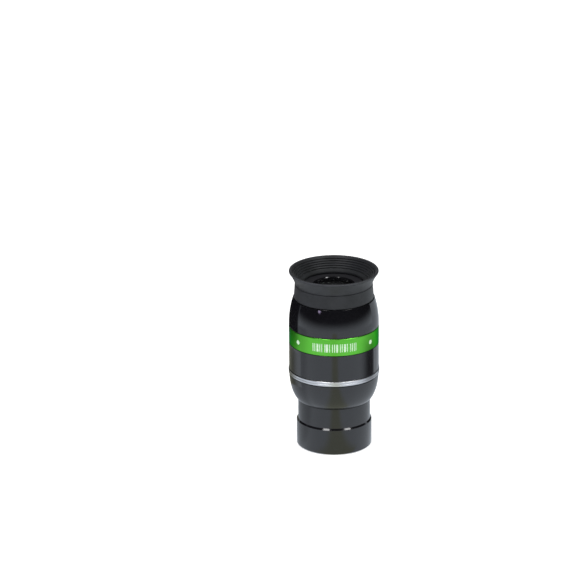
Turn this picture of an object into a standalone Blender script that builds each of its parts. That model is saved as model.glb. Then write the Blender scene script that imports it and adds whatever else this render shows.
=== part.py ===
# Direct-vision star spectroscope in the form of a 1.25-inch eyepiece.
# Metres, +Z up the optical axis towards the eye, origin at the centre of the nose's bottom face.
# The front of the green band faces -Y. Every turned piece is a profile with a Screw modifier.
import math

import bmesh
import bpy
import numpy as np

mm = 0.001

# Driving sizes of the outside, from the nose up
nose_radius = 15.875 * mm
nose_length = 11.0 * mm
nose_chamfer = 0.4 * mm
ledge_height = 0.7 * mm
ledge_width = 0.595 * mm
neck_length = 8.8 * mm
bowl_overhang = 0.12 * mm
bowl_height = 11.5 * mm
body_radius = 19.0 * mm
trim_ring_height = 2.3 * mm
trim_ring_stand_out = 0.22 * mm
sleeve_height = 11.4 * mm
band_height = 7.8 * mm
band_thickness = 0.65 * mm
band_chamfer = 0.15 * mm
head_height = 12.1 * mm
head_taper = 2.0 * mm
head_straight = 0.65 * mm
cup_height = 5.85 * mm
cup_step = 0.25 * mm
cup_taper = 0.4 * mm
skirt_height = 5.7 * mm
skirt_flare = 1.95 * mm
rim_width = 0.7 * mm
skirt_floor_width = 3.45 * mm

# Clearances
seam_gap = 0.2 * mm
thread_gap = 0.15 * mm
seat_gap = 0.2 * mm
glass_gap = 0.2 * mm
cup_gap = 0.15 * mm

# Nose: filter thread, light bore, slit chamber and the spigot that screws into the lower shell
filter_thread_wall = 1.925 * mm
filter_thread_length = 4.5 * mm
slit_shoulder_height = 14.0 * mm
slit_shoulder_width = 1.0 * mm
nose_spigot_step = 0.98 * mm
nose_spigot_wall = 1.1 * mm
nose_spigot_length = 4.6 * mm

# Slit
slit_disc_thickness = 1.5 * mm
slit_aperture_radius = 2.4 * mm
slit_width = 0.3 * mm
jaw_width = 6.0 * mm
jaw_length = 6.0 * mm
jaw_thickness = 0.8 * mm
jaw_bevel = 0.2 * mm
slit_screw_offset = 4.2 * mm
slit_screw_shank_radius = 0.6 * mm
slit_screw_head_radius = 1.2 * mm
slit_screw_head_height = 0.8 * mm
slit_retainer_wall = 2.4 * mm
slit_retainer_height = 2.4 * mm

# Shells
shell_spigot_step = 1.7 * mm
shell_spigot_length = 6.5 * mm
shell_spigot_wall = 1.3 * mm
shell_lip_width = 0.9 * mm
shell_lip_thickness = 1.5 * mm
sleeve_bore_step = 0.5 * mm
sleeve_lip_width = 2.0 * mm
sleeve_lip_thickness = 1.5 * mm
sleeve_lip_depth = 0.4 * mm
sleeve_tube_wall = 1.3 * mm
sleeve_tube_length = 5.0 * mm
head_lip_width = 1.35 * mm
head_lip_thickness = 1.0 * mm
cup_seat_step = 1.95 * mm
cup_seat_wall = 1.1 * mm
cup_seat_height = 5.7 * mm

# Collimator
collimator_cell_length = 6.4 * mm
collimator_cell_wall = 5.05 * mm
collimator_lip_width = 1.3 * mm
collimator_lip_thickness = 0.8 * mm
collimator_crown_edge = 1.4 * mm
collimator_crown_bulge = 1.0 * mm
collimator_front_bulge = 0.5 * mm
collimator_flint_edge = 2.0 * mm
collimator_flint_bulge = 0.3 * mm
collimator_retainer_height = 1.2 * mm

# Prism train
prism_side = 10.0 * mm
prism_thin_end = 1.0 * mm
prism_flint_thin_end = 1.2 * mm
prism_floor_thickness = 0.8 * mm
prism_aperture_radius = 4.5 * mm
cage_wall_gap = 0.3 * mm
pressure_plate_thickness = 0.9 * mm
pressure_plate_margin = 1.5 * mm
cage_screw_radius = 1.0 * mm
cage_screw_spread = 8.0 * mm
clamp_ring_height = 1.5 * mm

# Eye end
eye_cell_wall = 3.4 * mm
eye_cell_lip_width = 1.3 * mm
eye_cell_lip_thickness = 0.7 * mm
eye_lens_edge = 0.9 * mm
eye_lens_top_bulge = 1.2 * mm
eye_lens_bottom_bulge = 0.3 * mm
cylinder_lens_edge = 0.9 * mm
cylinder_lens_bulge = 0.3 * mm
lens_spacer_wall = 0.9 * mm
lens_spacer_height = 0.5 * mm
eye_plate_thickness = 1.5 * mm
eye_plate_overlap = 1.6 * mm
eye_plate_step = 0.3 * mm
eye_plate_land_margin = 0.4 * mm
spanner_hole_radius = 0.7 * mm
spanner_hole_depth = 1.0 * mm

# Eyecup skirt: ridges on its inner cone, a waist outside and a rolled rim
ridge_count = 5
ridge_depth = 0.22 * mm
ridge_start = 0.34
ridge_lean = 0.6
flare_power = 0.75
flare_steps = 5
skirt_waist_height = 1.1 * mm
rim_roll_radius = 0.55 * mm

turned_steps = 36
small_steps = 14
arc_steps = 7

# Radii worked out from the sizes above
neck_radius = nose_radius - ledge_width
bowl_bottom_radius = neck_radius + bowl_overhang
nose_spigot_radius = neck_radius - nose_spigot_step
slit_chamber_radius = nose_spigot_radius - nose_spigot_wall
nose_bore_radius = slit_chamber_radius - slit_shoulder_width
filter_thread_radius = nose_radius - filter_thread_wall
shell_spigot_radius = body_radius - shell_spigot_step
shell_inner_radius = shell_spigot_radius - shell_spigot_wall
shell_lip_radius = nose_spigot_radius - shell_lip_width
sleeve_bore_radius = shell_inner_radius - sleeve_bore_step
sleeve_lip_radius = sleeve_bore_radius - sleeve_lip_width
sleeve_tube_radius = sleeve_bore_radius + sleeve_tube_wall
head_top_radius = body_radius - head_taper
cup_seat_radius = head_top_radius - cup_seat_step
cup_bottom_radius = head_top_radius - cup_step
cup_top_radius = cup_bottom_radius - cup_taper
skirt_radius = cup_bottom_radius + skirt_flare
skirt_mouth_radius = skirt_radius - rim_width
skirt_floor_radius = cup_top_radius - skirt_floor_width
eye_bore_radius = cup_seat_radius - cup_seat_wall
head_lip_radius = eye_bore_radius - head_lip_width
cell_outer_radius = sleeve_bore_radius - thread_gap
collimator_radius = cell_outer_radius - collimator_cell_wall - glass_gap
collimator_lip_radius = collimator_radius - collimator_lip_width
eye_cell_radius = eye_bore_radius - thread_gap
eye_lens_radius = eye_cell_radius - eye_cell_wall - glass_gap
eye_opening_radius = eye_lens_radius - eye_plate_overlap
eye_land_radius = skirt_floor_radius - eye_plate_land_margin

# Heights worked out from the nose up
neck_bottom = nose_length + ledge_height
seam_height = neck_bottom + neck_length
trim_bottom = seam_height + bowl_height
trim_top = trim_bottom + trim_ring_height
band_bottom = trim_top + sleeve_height
band_top = band_bottom + band_height
head_top = band_top + head_height
cup_bottom = head_top + seat_gap
cup_top = head_top + seat_gap + cup_height
skirt_bottom = cup_top + cup_gap
skirt_top = skirt_bottom + skirt_height
nose_spigot_top = seam_height + nose_spigot_length
shell_spigot_top = trim_bottom + shell_spigot_length
slit_disc_bottom = slit_shoulder_height + seat_gap / 2
slit_disc_top = slit_disc_bottom + slit_disc_thickness
jaw_bottom = slit_disc_top + seat_gap / 2
jaw_top = jaw_bottom + jaw_thickness
sleeve_lip_top = band_bottom - sleeve_lip_depth
sleeve_lip_bottom = sleeve_lip_top - sleeve_lip_thickness
sleeve_tube_top = band_top + sleeve_tube_length
cell_top = sleeve_lip_bottom - seat_gap
cell_bottom = cell_top - collimator_cell_length
cage_bottom = sleeve_lip_top + seat_gap
train_bottom = cage_bottom + prism_floor_thickness + glass_gap
cup_seat_top = head_top + cup_seat_height

# Heights of the eye end, worked out from the eyecup's seat down to the prism train
eye_dome_rise = eye_lens_top_bulge * (1 - (eye_opening_radius / eye_lens_radius) ** 2)
eye_plate_top = cup_seat_top
eye_plate_bottom = eye_plate_top - eye_plate_thickness
eye_cell_top = eye_plate_bottom - seat_gap
eye_lens_bottom = eye_plate_bottom - glass_gap - eye_dome_rise - eye_lens_edge
spacer_top = eye_lens_bottom - seat_gap
spacer_bottom = spacer_top - lens_spacer_height
cylinder_lens_crest = spacer_bottom - seat_gap / 2
cylinder_lens_bottom = cylinder_lens_crest - cylinder_lens_bulge - cylinder_lens_edge
eye_lip_top = cylinder_lens_bottom - glass_gap
eye_cell_bottom = eye_lip_top - eye_cell_lip_thickness
head_lip_top = eye_cell_bottom - seat_gap
head_lip_bottom = head_lip_top - head_lip_thickness
clamp_ring_top = head_lip_bottom - seat_gap
clamp_ring_bottom = clamp_ring_top - clamp_ring_height
cage_top = clamp_ring_bottom - seat_gap
train_top = cage_top - glass_gap / 2
train_length = train_top - train_bottom
prism_thick_end = (train_length - prism_flint_thin_end) / 2 - glass_gap

for old in list(bpy.data.objects):
    bpy.data.objects.remove(old, do_unlink=True)

parts = bpy.data.collections.new("spectroscope")
cutters = bpy.data.collections.new("cutters")
bpy.context.scene.collection.children.link(parts)
bpy.context.scene.collection.children.link(cutters)


# One Principled BSDF with the part's colour, roughness and metallic value
def make_material(name, colour, roughness, metallic, glass=False):
    made = bpy.data.materials.new(name)
    made.use_nodes = True
    shader = made.node_tree.nodes["Principled BSDF"]
    shader.inputs["Base Color"].default_value = (*colour, 1.0)
    shader.inputs["Roughness"].default_value = roughness
    shader.inputs["Metallic"].default_value = metallic
    if glass:
        shader.inputs["Transmission Weight"].default_value = 1.0
    made.diffuse_color = (*colour, 1.0)
    return made


gloss_black = make_material("gloss_black_anodised", (0.012, 0.012, 0.013), 0.12, 0.0)
matte_black = make_material("matte_black_metal", (0.018, 0.018, 0.018), 0.55, 0.3)
green_anodised = make_material("green_anodised", (0.13, 0.49, 0.06), 0.3, 0.4)
polished_ring = make_material("polished_aluminium", (0.82, 0.82, 0.83), 0.12, 1.0)
slit_steel = make_material("blackened_steel", (0.06, 0.06, 0.065), 0.35, 0.9)
screw_steel = make_material("screw_steel", (0.55, 0.55, 0.56), 0.3, 1.0)
brass = make_material("brass", (0.62, 0.45, 0.16), 0.3, 1.0)
crown_glass = make_material("crown_glass", (0.93, 0.96, 0.95), 0.02, 0.0, glass=True)
flint_glass = make_material("flint_glass", (0.96, 0.94, 0.86), 0.02, 0.0, glass=True)
rubber = make_material("nitrile_rubber", (0.028, 0.029, 0.031), 0.6, 0.0)


# Cutters show as wire and never render
def hide_cutter(made):
    made.hide_render = True
    made.display_type = "WIRE"
    return made


# Turns a profile of (radius, height) around Z. The profile runs down its outer side first.
# One that starts and ends on the axis makes a solid, any other is closed into a ring.
def turned(name, profile, material, steps=turned_steps):
    solid = profile[0][0] == 0
    count = len(profile)
    edges = [(i, i + 1) for i in range(count - 1)]
    if not solid:
        edges.append((count - 1, 0))
    mesh = bpy.data.meshes.new(name)
    mesh.from_pydata([(r, 0.0, z) for r, z in profile], edges, [])
    mesh.materials.append(material)
    made = bpy.data.objects.new(name, mesh)
    parts.objects.link(made)
    screw = made.modifiers.new("turn", "SCREW")
    screw.axis = "Z"
    screw.angle = math.tau
    screw.steps = steps
    screw.render_steps = steps
    screw.use_merge_vertices = True
    screw.merge_threshold = 0.000001
    screw.use_smooth_shade = True
    return made


# Square-cornered ring
def ring_profile(outer, inner, bottom, top):
    return [(outer, top), (outer, bottom), (inner, bottom), (inner, top)]


# Points between two (radius, height) points, on a circle that leaves the upper or lower one
# upright and bulges away from the axis: radius = (rise^2 + run^2) / (2 run)
def arc(start, end, steps=arc_steps):
    (r0, z0), (r1, z1) = start, end
    radius = ((z1 - z0) ** 2 + (r1 - r0) ** 2) / (2 * abs(r1 - r0))
    half_chord = math.hypot(r1 - r0, z1 - z0) / 2
    rise = math.sqrt(radius * radius - half_chord * half_chord)
    side = (z0 - z1) / (2 * half_chord), (r1 - r0) / (2 * half_chord)
    centre_r = (r0 + r1) / 2 - side[0] * rise
    centre_z = (z0 + z1) / 2 - side[1] * rise
    first = math.atan2(z0 - centre_z, r0 - centre_r)
    last = math.atan2(z1 - centre_z, r1 - centre_r)
    angles = np.linspace(first, last, steps + 1)
    return [(centre_r + radius * math.cos(a), centre_z + radius * math.sin(a)) for a in angles]


# Points of a spherical cap from the axis out to its edge; a negative bulge hollows it
def dome(radius, edge_height, bulge, steps=4):
    sphere = (radius * radius + bulge * bulge) / (2 * abs(bulge))
    radii = np.linspace(0.0, radius, steps + 1)
    drops = sphere - np.sqrt(sphere * sphere - radii * radii)
    heights = edge_height + bulge - math.copysign(1.0, bulge) * drops
    return [(float(r), float(z)) for r, z in zip(radii, heights)]


# Round lens: a cap above and a cap below a straight edge. Bulges point up and down.
def lens(name, radius, bottom, edge, top_bulge, bottom_bulge, material):
    top = dome(radius, bottom + edge, top_bulge)
    under = dome(radius, bottom, -bottom_bulge)
    return turned(name, top + under[::-1], material)


# Solid cylinder on its own Z axis, centred on a place
def cylinder(name, radius, depth, place, turn=(0.0, 0.0, 0.0), material=None, collection=cutters):
    mesh = bpy.data.meshes.new(name)
    work = bmesh.new()
    bmesh.ops.create_cone(work, cap_ends=True, segments=small_steps, radius1=radius,
                          radius2=radius, depth=depth)
    work.to_mesh(mesh)
    work.free()
    made = bpy.data.objects.new(name, mesh)
    collection.objects.link(made)
    made.location = place
    made.rotation_euler = turn
    if material:
        mesh.materials.append(material)
        mesh.shade_smooth()
        mesh.set_sharp_from_angle(angle=math.radians(35))
    return made if collection == parts else hide_cutter(made)


# Box between two corners, with its origin at its centre
def block(name, low, high, material=None, collection=cutters):
    mesh = bpy.data.meshes.new(name)
    work = bmesh.new()
    bmesh.ops.create_cube(work, size=1.0)
    size = [high[i] - low[i] for i in range(3)]
    bmesh.ops.scale(work, vec=size, verts=work.verts)
    work.to_mesh(mesh)
    work.free()
    made = bpy.data.objects.new(name, mesh)
    collection.objects.link(made)
    made.location = [(high[i] + low[i]) / 2 for i in range(3)]
    if material:
        mesh.materials.append(material)
    return made if collection == parts else hide_cutter(made)


# Flat outline of (x, z) points, drawn as a filled 2D curve and extruded along Y both ways.
# The curve is turned into a mesh, with its caps welded, so that it can cut or be cut.
def extruded(name, outline, half_depth, material=None, collection=cutters):
    curve = bpy.data.curves.new(name + "_outline", "CURVE")
    curve.dimensions = "2D"
    curve.fill_mode = "BOTH"
    curve.extrude = half_depth
    spline = curve.splines.new("POLY")
    spline.points.add(len(outline) - 1)
    for point, (x, z) in zip(spline.points, outline):
        point.co = (x, z, 0.0, 1.0)
    spline.use_cyclic_u = True
    drawn = bpy.data.objects.new(name + "_outline", curve)
    collection.objects.link(drawn)
    drawn.rotation_euler.x = math.pi / 2
    bpy.context.view_layer.update()
    evaluated = drawn.evaluated_get(bpy.context.evaluated_depsgraph_get())
    mesh = bpy.data.meshes.new_from_object(evaluated)
    mesh.name = name
    work = bmesh.new()
    work.from_mesh(mesh)
    bmesh.ops.remove_doubles(work, verts=work.verts, dist=0.000001)
    bmesh.ops.recalc_face_normals(work, faces=work.faces)
    work.to_mesh(mesh)
    work.free()
    made = bpy.data.objects.new(name, mesh)
    collection.objects.link(made)
    made.matrix_world = drawn.matrix_world
    bpy.data.objects.remove(drawn, do_unlink=True)
    mesh.materials.clear()
    if material:
        mesh.materials.append(material)
    return made if collection == parts else hide_cutter(made)


# Takes a cutter's shape out of a piece
def cut(piece, cutter):
    boolean = piece.modifiers.new("cut_" + cutter.name, "BOOLEAN")
    boolean.operation = "DIFFERENCE"
    boolean.solver = "EXACT"
    boolean.object = cutter


# Nose barrel: chamfered nose, ledge, neck and the spigot above the seam
neck_top = seam_height - seam_gap / 2
nose_barrel = turned("nose_barrel", [
    (nose_spigot_radius, nose_spigot_top),
    (nose_spigot_radius, neck_top),
    (neck_radius, neck_top),
    (neck_radius, neck_bottom),
    (nose_radius, nose_length),
    (nose_radius, nose_chamfer),
    (nose_radius - nose_chamfer, 0.0),
    (filter_thread_radius, 0.0),
    (filter_thread_radius, filter_thread_length),
    (nose_bore_radius, filter_thread_length),
    (nose_bore_radius, slit_shoulder_height),
    (slit_chamber_radius, slit_shoulder_height),
    (slit_chamber_radius, nose_spigot_top),
], gloss_black)

# Slit: a disc on the nose's shoulder, two jaws with a screw each, and a retaining ring
slit_disc_radius = slit_chamber_radius - thread_gap
slit_disc = turned("slit_disc", ring_profile(
    slit_disc_radius, slit_aperture_radius, slit_disc_bottom, slit_disc_top), matte_black)
jaw_screw_clearance = slit_screw_shank_radius + thread_gap
for side, word in ((-1, "left"), (1, "right")):
    near = side * slit_width / 2
    far = side * (slit_width / 2 + jaw_width)
    jaw = block("slit_jaw_" + word, (min(near, far), -jaw_length / 2, jaw_bottom),
                (max(near, far), jaw_length / 2, jaw_top), slit_steel, parts)
    bevel = jaw.modifiers.new("edge", "BEVEL")
    bevel.width = jaw_bevel
    bevel.segments = 1
    screw_place = side * slit_screw_offset
    through = cylinder("screw_way_" + word, jaw_screw_clearance, slit_disc_thickness * 4,
                       (screw_place, 0.0, jaw_bottom))
    cut(jaw, through)
    cut(slit_disc, through)
    head_bottom = jaw_top + seat_gap / 2
    turned_screw = turned("slit_screw_" + word, [
        (0.0, head_bottom + slit_screw_head_height),
        (slit_screw_head_radius, head_bottom + slit_screw_head_height),
        (slit_screw_head_radius, head_bottom),
        (slit_screw_shank_radius, head_bottom),
        (slit_screw_shank_radius, slit_disc_bottom),
        (0.0, slit_disc_bottom),
    ], screw_steel, small_steps)
    turned_screw.location.x = screw_place
slit_retainer_bottom = slit_disc_top + seat_gap / 2
turned("slit_retainer", ring_profile(
    slit_disc_radius, slit_disc_radius - slit_retainer_wall,
    slit_retainer_bottom, slit_retainer_bottom + slit_retainer_height), matte_black)

# Lower shell: bowl outside, seat for the nose inside, spigot above
bowl_bottom = seam_height + seam_gap / 2
nose_seat_radius = nose_spigot_radius + thread_gap
nose_seat_top = nose_spigot_top + seat_gap
shell_lip_top = nose_seat_top + shell_lip_thickness
shell_cone_height = abs(shell_inner_radius - shell_lip_radius)
turned("lower_shell", [
    (shell_spigot_radius, shell_spigot_top),
    (shell_spigot_radius, trim_bottom),
    *arc((body_radius, trim_bottom), (bowl_bottom_radius, bowl_bottom)),
    (nose_seat_radius, bowl_bottom),
    (nose_seat_radius, nose_seat_top),
    (shell_lip_radius, nose_seat_top),
    (shell_lip_radius, shell_lip_top),
    (shell_inner_radius, shell_lip_top + shell_cone_height),
    (shell_inner_radius, shell_spigot_top),
], gloss_black)

# Polished trim ring, clamped between the lower shell and the middle sleeve
trim_outer = body_radius + trim_ring_stand_out
spigot_seat_radius = shell_spigot_radius + thread_gap
trim_low = trim_bottom + seat_gap / 2
trim_high = trim_top - seat_gap / 2
turned("trim_ring", [
    (trim_outer - trim_ring_stand_out, trim_high),
    (trim_outer, trim_high - trim_ring_stand_out),
    (trim_outer, trim_low + trim_ring_stand_out),
    (trim_outer - trim_ring_stand_out, trim_low),
    (spigot_seat_radius, trim_low),
    (spigot_seat_radius, trim_high),
], polished_ring)

# Middle sleeve: body, band seat and threaded tube outside; lens seats and a lip inside
band_seat_radius = body_radius - band_thickness - thread_gap
spigot_seat_top = shell_spigot_top + seat_gap
middle_sleeve = turned("middle_sleeve", [
    (sleeve_tube_radius, sleeve_tube_top),
    (sleeve_tube_radius, band_top),
    (band_seat_radius, band_top),
    (band_seat_radius, band_bottom),
    (body_radius, band_bottom),
    (body_radius, trim_top),
    (spigot_seat_radius, trim_top),
    (spigot_seat_radius, spigot_seat_top),
    (sleeve_bore_radius, spigot_seat_top),
    (sleeve_bore_radius, sleeve_lip_bottom),
    (sleeve_lip_radius, sleeve_lip_bottom),
    (sleeve_lip_radius, sleeve_lip_top),
    (sleeve_bore_radius, sleeve_lip_top),
    (sleeve_bore_radius, sleeve_tube_top),
], gloss_black)

# Green band, a loose ring on its seat under the head
band_low = band_bottom + seat_gap / 2
band_high = band_top - seat_gap / 2
band_inner = body_radius - band_thickness
turned("green_band", [
    (body_radius - band_chamfer, band_high),
    (body_radius, band_high - band_chamfer),
    (body_radius, band_low + band_chamfer),
    (body_radius - band_chamfer, band_low),
    (band_inner, band_low),
    (band_inner, band_high),
], green_anodised)

# Head: straight shoulder, ogive, and the seat that the eyecup grips
head_bottom_face = band_top + seat_gap / 2
head_arc_bottom = band_top + head_straight
tube_seat_radius = sleeve_tube_radius + thread_gap
tube_seat_top = sleeve_tube_top + seat_gap
turned("head_shell", [
    (cup_seat_radius, cup_seat_top),
    (cup_seat_radius, head_top),
    *arc((head_top_radius, head_top), (body_radius, head_arc_bottom)),
    (body_radius, head_bottom_face),
    (tube_seat_radius, head_bottom_face),
    (tube_seat_radius, tube_seat_top),
    (sleeve_bore_radius, tube_seat_top),
    (sleeve_bore_radius, head_lip_bottom),
    (head_lip_radius, head_lip_bottom),
    (head_lip_radius, head_lip_top),
    (eye_bore_radius, head_lip_top),
    (eye_bore_radius, cup_seat_top),
], gloss_black)

# Collimator: cell, cemented crown and flint, retaining ring
cell_bore = collimator_radius + glass_gap
cell_lip_bottom = cell_top - collimator_lip_thickness
turned("collimator_cell", [
    (cell_outer_radius, cell_top),
    (cell_outer_radius, cell_bottom),
    (cell_bore, cell_bottom),
    (cell_bore, cell_lip_bottom),
    (collimator_lip_radius, cell_lip_bottom),
    (collimator_lip_radius, cell_top),
], matte_black)
flint_bottom = cell_lip_bottom - glass_gap - collimator_flint_edge
crown_bottom = flint_bottom - glass_gap - collimator_crown_edge
lens("collimator_flint", collimator_radius, flint_bottom, collimator_flint_edge,
     -collimator_flint_bulge, -collimator_crown_bulge, flint_glass)
lens("collimator_crown", collimator_radius, crown_bottom, collimator_crown_edge,
     collimator_crown_bulge, collimator_front_bulge, crown_glass)
retainer_top = crown_bottom - glass_gap
turned("collimator_retainer", ring_profile(
    cell_bore - thread_gap, collimator_lip_radius,
    retainer_top - collimator_retainer_height, retainer_top), matte_black)

# Prism cage: round outside, square chamber from the top, a floor with a round aperture
cage = turned("prism_cage", ring_profile(
    cell_outer_radius, prism_aperture_radius, cage_bottom, cage_top), matte_black)
half = prism_side / 2
chamber_half = half + cage_wall_gap
plate_inner = half + cage_wall_gap / 2
plate_outer = plate_inner + pressure_plate_thickness
chamber_floor = cage_bottom + prism_floor_thickness
cut(cage, block("prism_chamber", (-chamber_half, -chamber_half, chamber_floor),
                (plate_outer + cage_wall_gap, chamber_half, cage_top + prism_floor_thickness)))

# Amici train: crown, flint, crown, wedges along Y between two flat ends
low_thick = train_bottom + prism_thick_end
low_thin = train_bottom + prism_thin_end
high_thick = train_top - prism_thick_end
high_thin = train_top - prism_thin_end
prism_outlines = {
    "prism_crown_lower": (crown_glass, [(-half, train_bottom), (half, train_bottom),
                                        (half, low_thin), (-half, low_thick)]),
    "prism_flint": (flint_glass, [(-half, low_thick + glass_gap), (half, low_thin + glass_gap),
                                  (half, high_thin - glass_gap), (-half, high_thick - glass_gap)]),
    "prism_crown_upper": (crown_glass, [(-half, high_thick), (half, high_thin),
                                        (half, train_top), (-half, train_top)]),
}
for name, (glass, outline) in prism_outlines.items():
    extruded(name, outline, half, glass, parts)

# Pressure plate on the train's +X side, pushed by two radial screws through the cage
plate_middle = (train_bottom + train_top) / 2
block("prism_pressure_plate",
      (plate_inner, -half + pressure_plate_margin, train_bottom + pressure_plate_margin),
      (plate_outer, half - pressure_plate_margin, train_top - pressure_plate_margin), brass, parts)
screw_start = plate_outer + seat_gap / 2
screw_end = cell_outer_radius - 2 * thread_gap
way_end = cell_outer_radius + cage_screw_radius
for place, word in ((-0.5, "lower"), (0.5, "upper")):
    height = plate_middle + place * cage_screw_spread
    sideways = (0.0, math.pi / 2, 0.0)
    way = cylinder("cage_way_" + word, cage_screw_radius + thread_gap, way_end - plate_outer,
                   ((plate_outer + way_end) / 2, 0.0, height), sideways)
    cut(cage, way)
    cylinder("prism_screw_" + word, cage_screw_radius, screw_end - screw_start,
             ((screw_start + screw_end) / 2, 0.0, height), sideways, screw_steel, parts)
turned("prism_clamp_ring", ring_profile(
    cell_outer_radius, prism_aperture_radius, clamp_ring_bottom, clamp_ring_top), matte_black)

# Eye lens cell, cylinder lens, spacer, eye lens and the plate that holds them
eye_cell_bore = eye_lens_radius + glass_gap
eye_cell_lip_radius = eye_lens_radius - eye_cell_lip_width
turned("eye_lens_cell", [
    (eye_cell_radius, eye_cell_top),
    (eye_cell_radius, eye_cell_bottom),
    (eye_cell_lip_radius, eye_cell_bottom),
    (eye_cell_lip_radius, eye_lip_top),
    (eye_cell_bore, eye_lip_top),
    (eye_cell_bore, eye_cell_top),
], matte_black)
cylinder_lens = turned("cylinder_lens", [
    (0.0, cylinder_lens_crest),
    (eye_lens_radius, cylinder_lens_crest),
    (eye_lens_radius, cylinder_lens_bottom),
    (0.0, cylinder_lens_bottom),
], crown_glass)
barrel_radius = (eye_lens_radius ** 2 + cylinder_lens_bulge ** 2) / (2 * cylinder_lens_bulge)
curve_x = np.linspace(-1.1 * eye_lens_radius, 1.1 * eye_lens_radius, 13)
curve_z = cylinder_lens_crest - barrel_radius
curve_z = curve_z + np.sqrt(barrel_radius ** 2 - curve_x ** 2)
shaver_top = cylinder_lens_crest + 4 * cylinder_lens_bulge
shaver_outline = [(x, z) for x, z in zip(curve_x, curve_z)]
shaver_outline += [(curve_x[-1], shaver_top), (curve_x[0], shaver_top)]
cut(cylinder_lens, extruded("cylinder_shaver", shaver_outline, 1.2 * eye_lens_radius))
turned("lens_spacer", ring_profile(
    eye_lens_radius, eye_lens_radius - lens_spacer_wall, spacer_bottom, spacer_top), matte_black)
lens("eye_lens", eye_lens_radius, eye_lens_bottom, eye_lens_edge,
     eye_lens_top_bulge, eye_lens_bottom_bulge, crown_glass)
eye_plate = turned("eye_plate", [
    (eye_land_radius, eye_plate_top),
    (eye_land_radius, eye_plate_top - eye_plate_step),
    (eye_cell_radius, eye_plate_top - eye_plate_step),
    (eye_cell_radius, eye_plate_bottom),
    (eye_opening_radius, eye_plate_bottom),
    (eye_opening_radius, eye_plate_top),
], matte_black)
spanner_hole_offset = (eye_opening_radius + eye_land_radius) / 2
for side, word in ((-1, "left"), (1, "right")):
    hole = cylinder("spanner_hole_" + word, spanner_hole_radius, 2 * spanner_hole_depth,
                    (side * spanner_hole_offset, 0.0, eye_plate_top))
    cut(eye_plate, hole)

# Rubber eyecup: the gripping sleeve below the fold line
cup_inner_radius = cup_seat_radius + thread_gap
turned("eyecup_sleeve", [
    (cup_top_radius, cup_top),
    (cup_bottom_radius, cup_bottom),
    (cup_inner_radius, cup_bottom),
    (cup_inner_radius, cup_top),
], rubber)

# Rubber skirt above the fold line: a flare outside, a rolled rim and a ridged cone inside
# Flare: radius = rim - (rim - waist) * share ** flare_power, share down from the rim
waist_height = skirt_bottom + skirt_waist_height
flare_top = skirt_top - rim_roll_radius
flare = []
for share in np.linspace(0.0, 1.0, flare_steps + 1):
    flare_radius = skirt_radius - skirt_flare * share ** flare_power
    flare.append((flare_radius, flare_top - (flare_top - waist_height) * share))

# Inner cone from the floor to the mouth; each ridge leans in by its depth and steps back out
cone_rise = skirt_top - rim_roll_radius / 2 - skirt_bottom
cone_run = skirt_mouth_radius - skirt_floor_radius
ridge_share = (1.0 - ridge_start) / ridge_count
cone = [(skirt_floor_radius, skirt_bottom)]
for i in range(ridge_count):
    foot = ridge_start + ridge_share * i
    crest = foot + ridge_share * ridge_lean
    cone.append((skirt_floor_radius + cone_run * foot, skirt_bottom + cone_rise * foot))
    cone.append((skirt_floor_radius + cone_run * crest - ridge_depth,
                 skirt_bottom + cone_rise * crest + ridge_depth / 2))
rim_crest = ((skirt_mouth_radius + skirt_radius) / 2, skirt_top)
turned("eyecup_skirt", [rim_crest, *flare, (cup_top_radius, skirt_bottom), *cone], rubber)
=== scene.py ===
import math
import bmesh
import bpy
import numpy as np
from mathutils import Matrix, Vector


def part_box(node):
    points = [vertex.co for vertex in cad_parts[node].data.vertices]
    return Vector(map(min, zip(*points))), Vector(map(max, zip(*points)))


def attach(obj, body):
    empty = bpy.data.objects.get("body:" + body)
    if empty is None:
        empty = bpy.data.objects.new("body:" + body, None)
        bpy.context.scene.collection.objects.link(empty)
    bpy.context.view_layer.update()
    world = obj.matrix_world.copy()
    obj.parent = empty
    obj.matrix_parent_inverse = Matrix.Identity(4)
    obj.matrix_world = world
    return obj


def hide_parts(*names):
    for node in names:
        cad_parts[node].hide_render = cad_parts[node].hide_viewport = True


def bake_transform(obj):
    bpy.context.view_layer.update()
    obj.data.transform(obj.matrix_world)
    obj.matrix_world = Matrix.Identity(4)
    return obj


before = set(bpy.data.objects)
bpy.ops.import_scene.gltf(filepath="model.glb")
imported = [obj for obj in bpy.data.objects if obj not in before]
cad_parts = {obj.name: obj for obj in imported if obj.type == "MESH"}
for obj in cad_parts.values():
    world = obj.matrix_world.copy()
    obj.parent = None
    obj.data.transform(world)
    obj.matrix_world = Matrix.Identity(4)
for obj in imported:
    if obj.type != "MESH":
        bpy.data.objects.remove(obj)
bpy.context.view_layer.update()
mm = 0.001
print("frame loaded,", len(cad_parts), "nodes")


# Small helpers

# sRGB hex to a linear colour: below 0.04045 a straight line, above it a 2.4 power
def linearColour(code):
    srgb = np.array([int(code[i:i + 2], 16) for i in (1, 3, 5)]) / 255
    linear = np.where(srgb <= 0.04045, srgb / 12.92, ((srgb + 0.055) / 1.055) ** 2.4)
    return (*[float(v) for v in linear], 1.0)


# One node with its settings and links; a setting is a socket's value or the node's own property
def addNode(tree, kind, settings=None, links=None):
    node = tree.nodes.new(kind)
    for key, value in (settings or {}).items():
        if isinstance(key, int) or key in node.inputs:
            node.inputs[key].default_value = value
        else:
            setattr(node, key, value)
    for key, source in (links or {}).items():
        tree.links.new(source, node.inputs[key])
    return node


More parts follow.
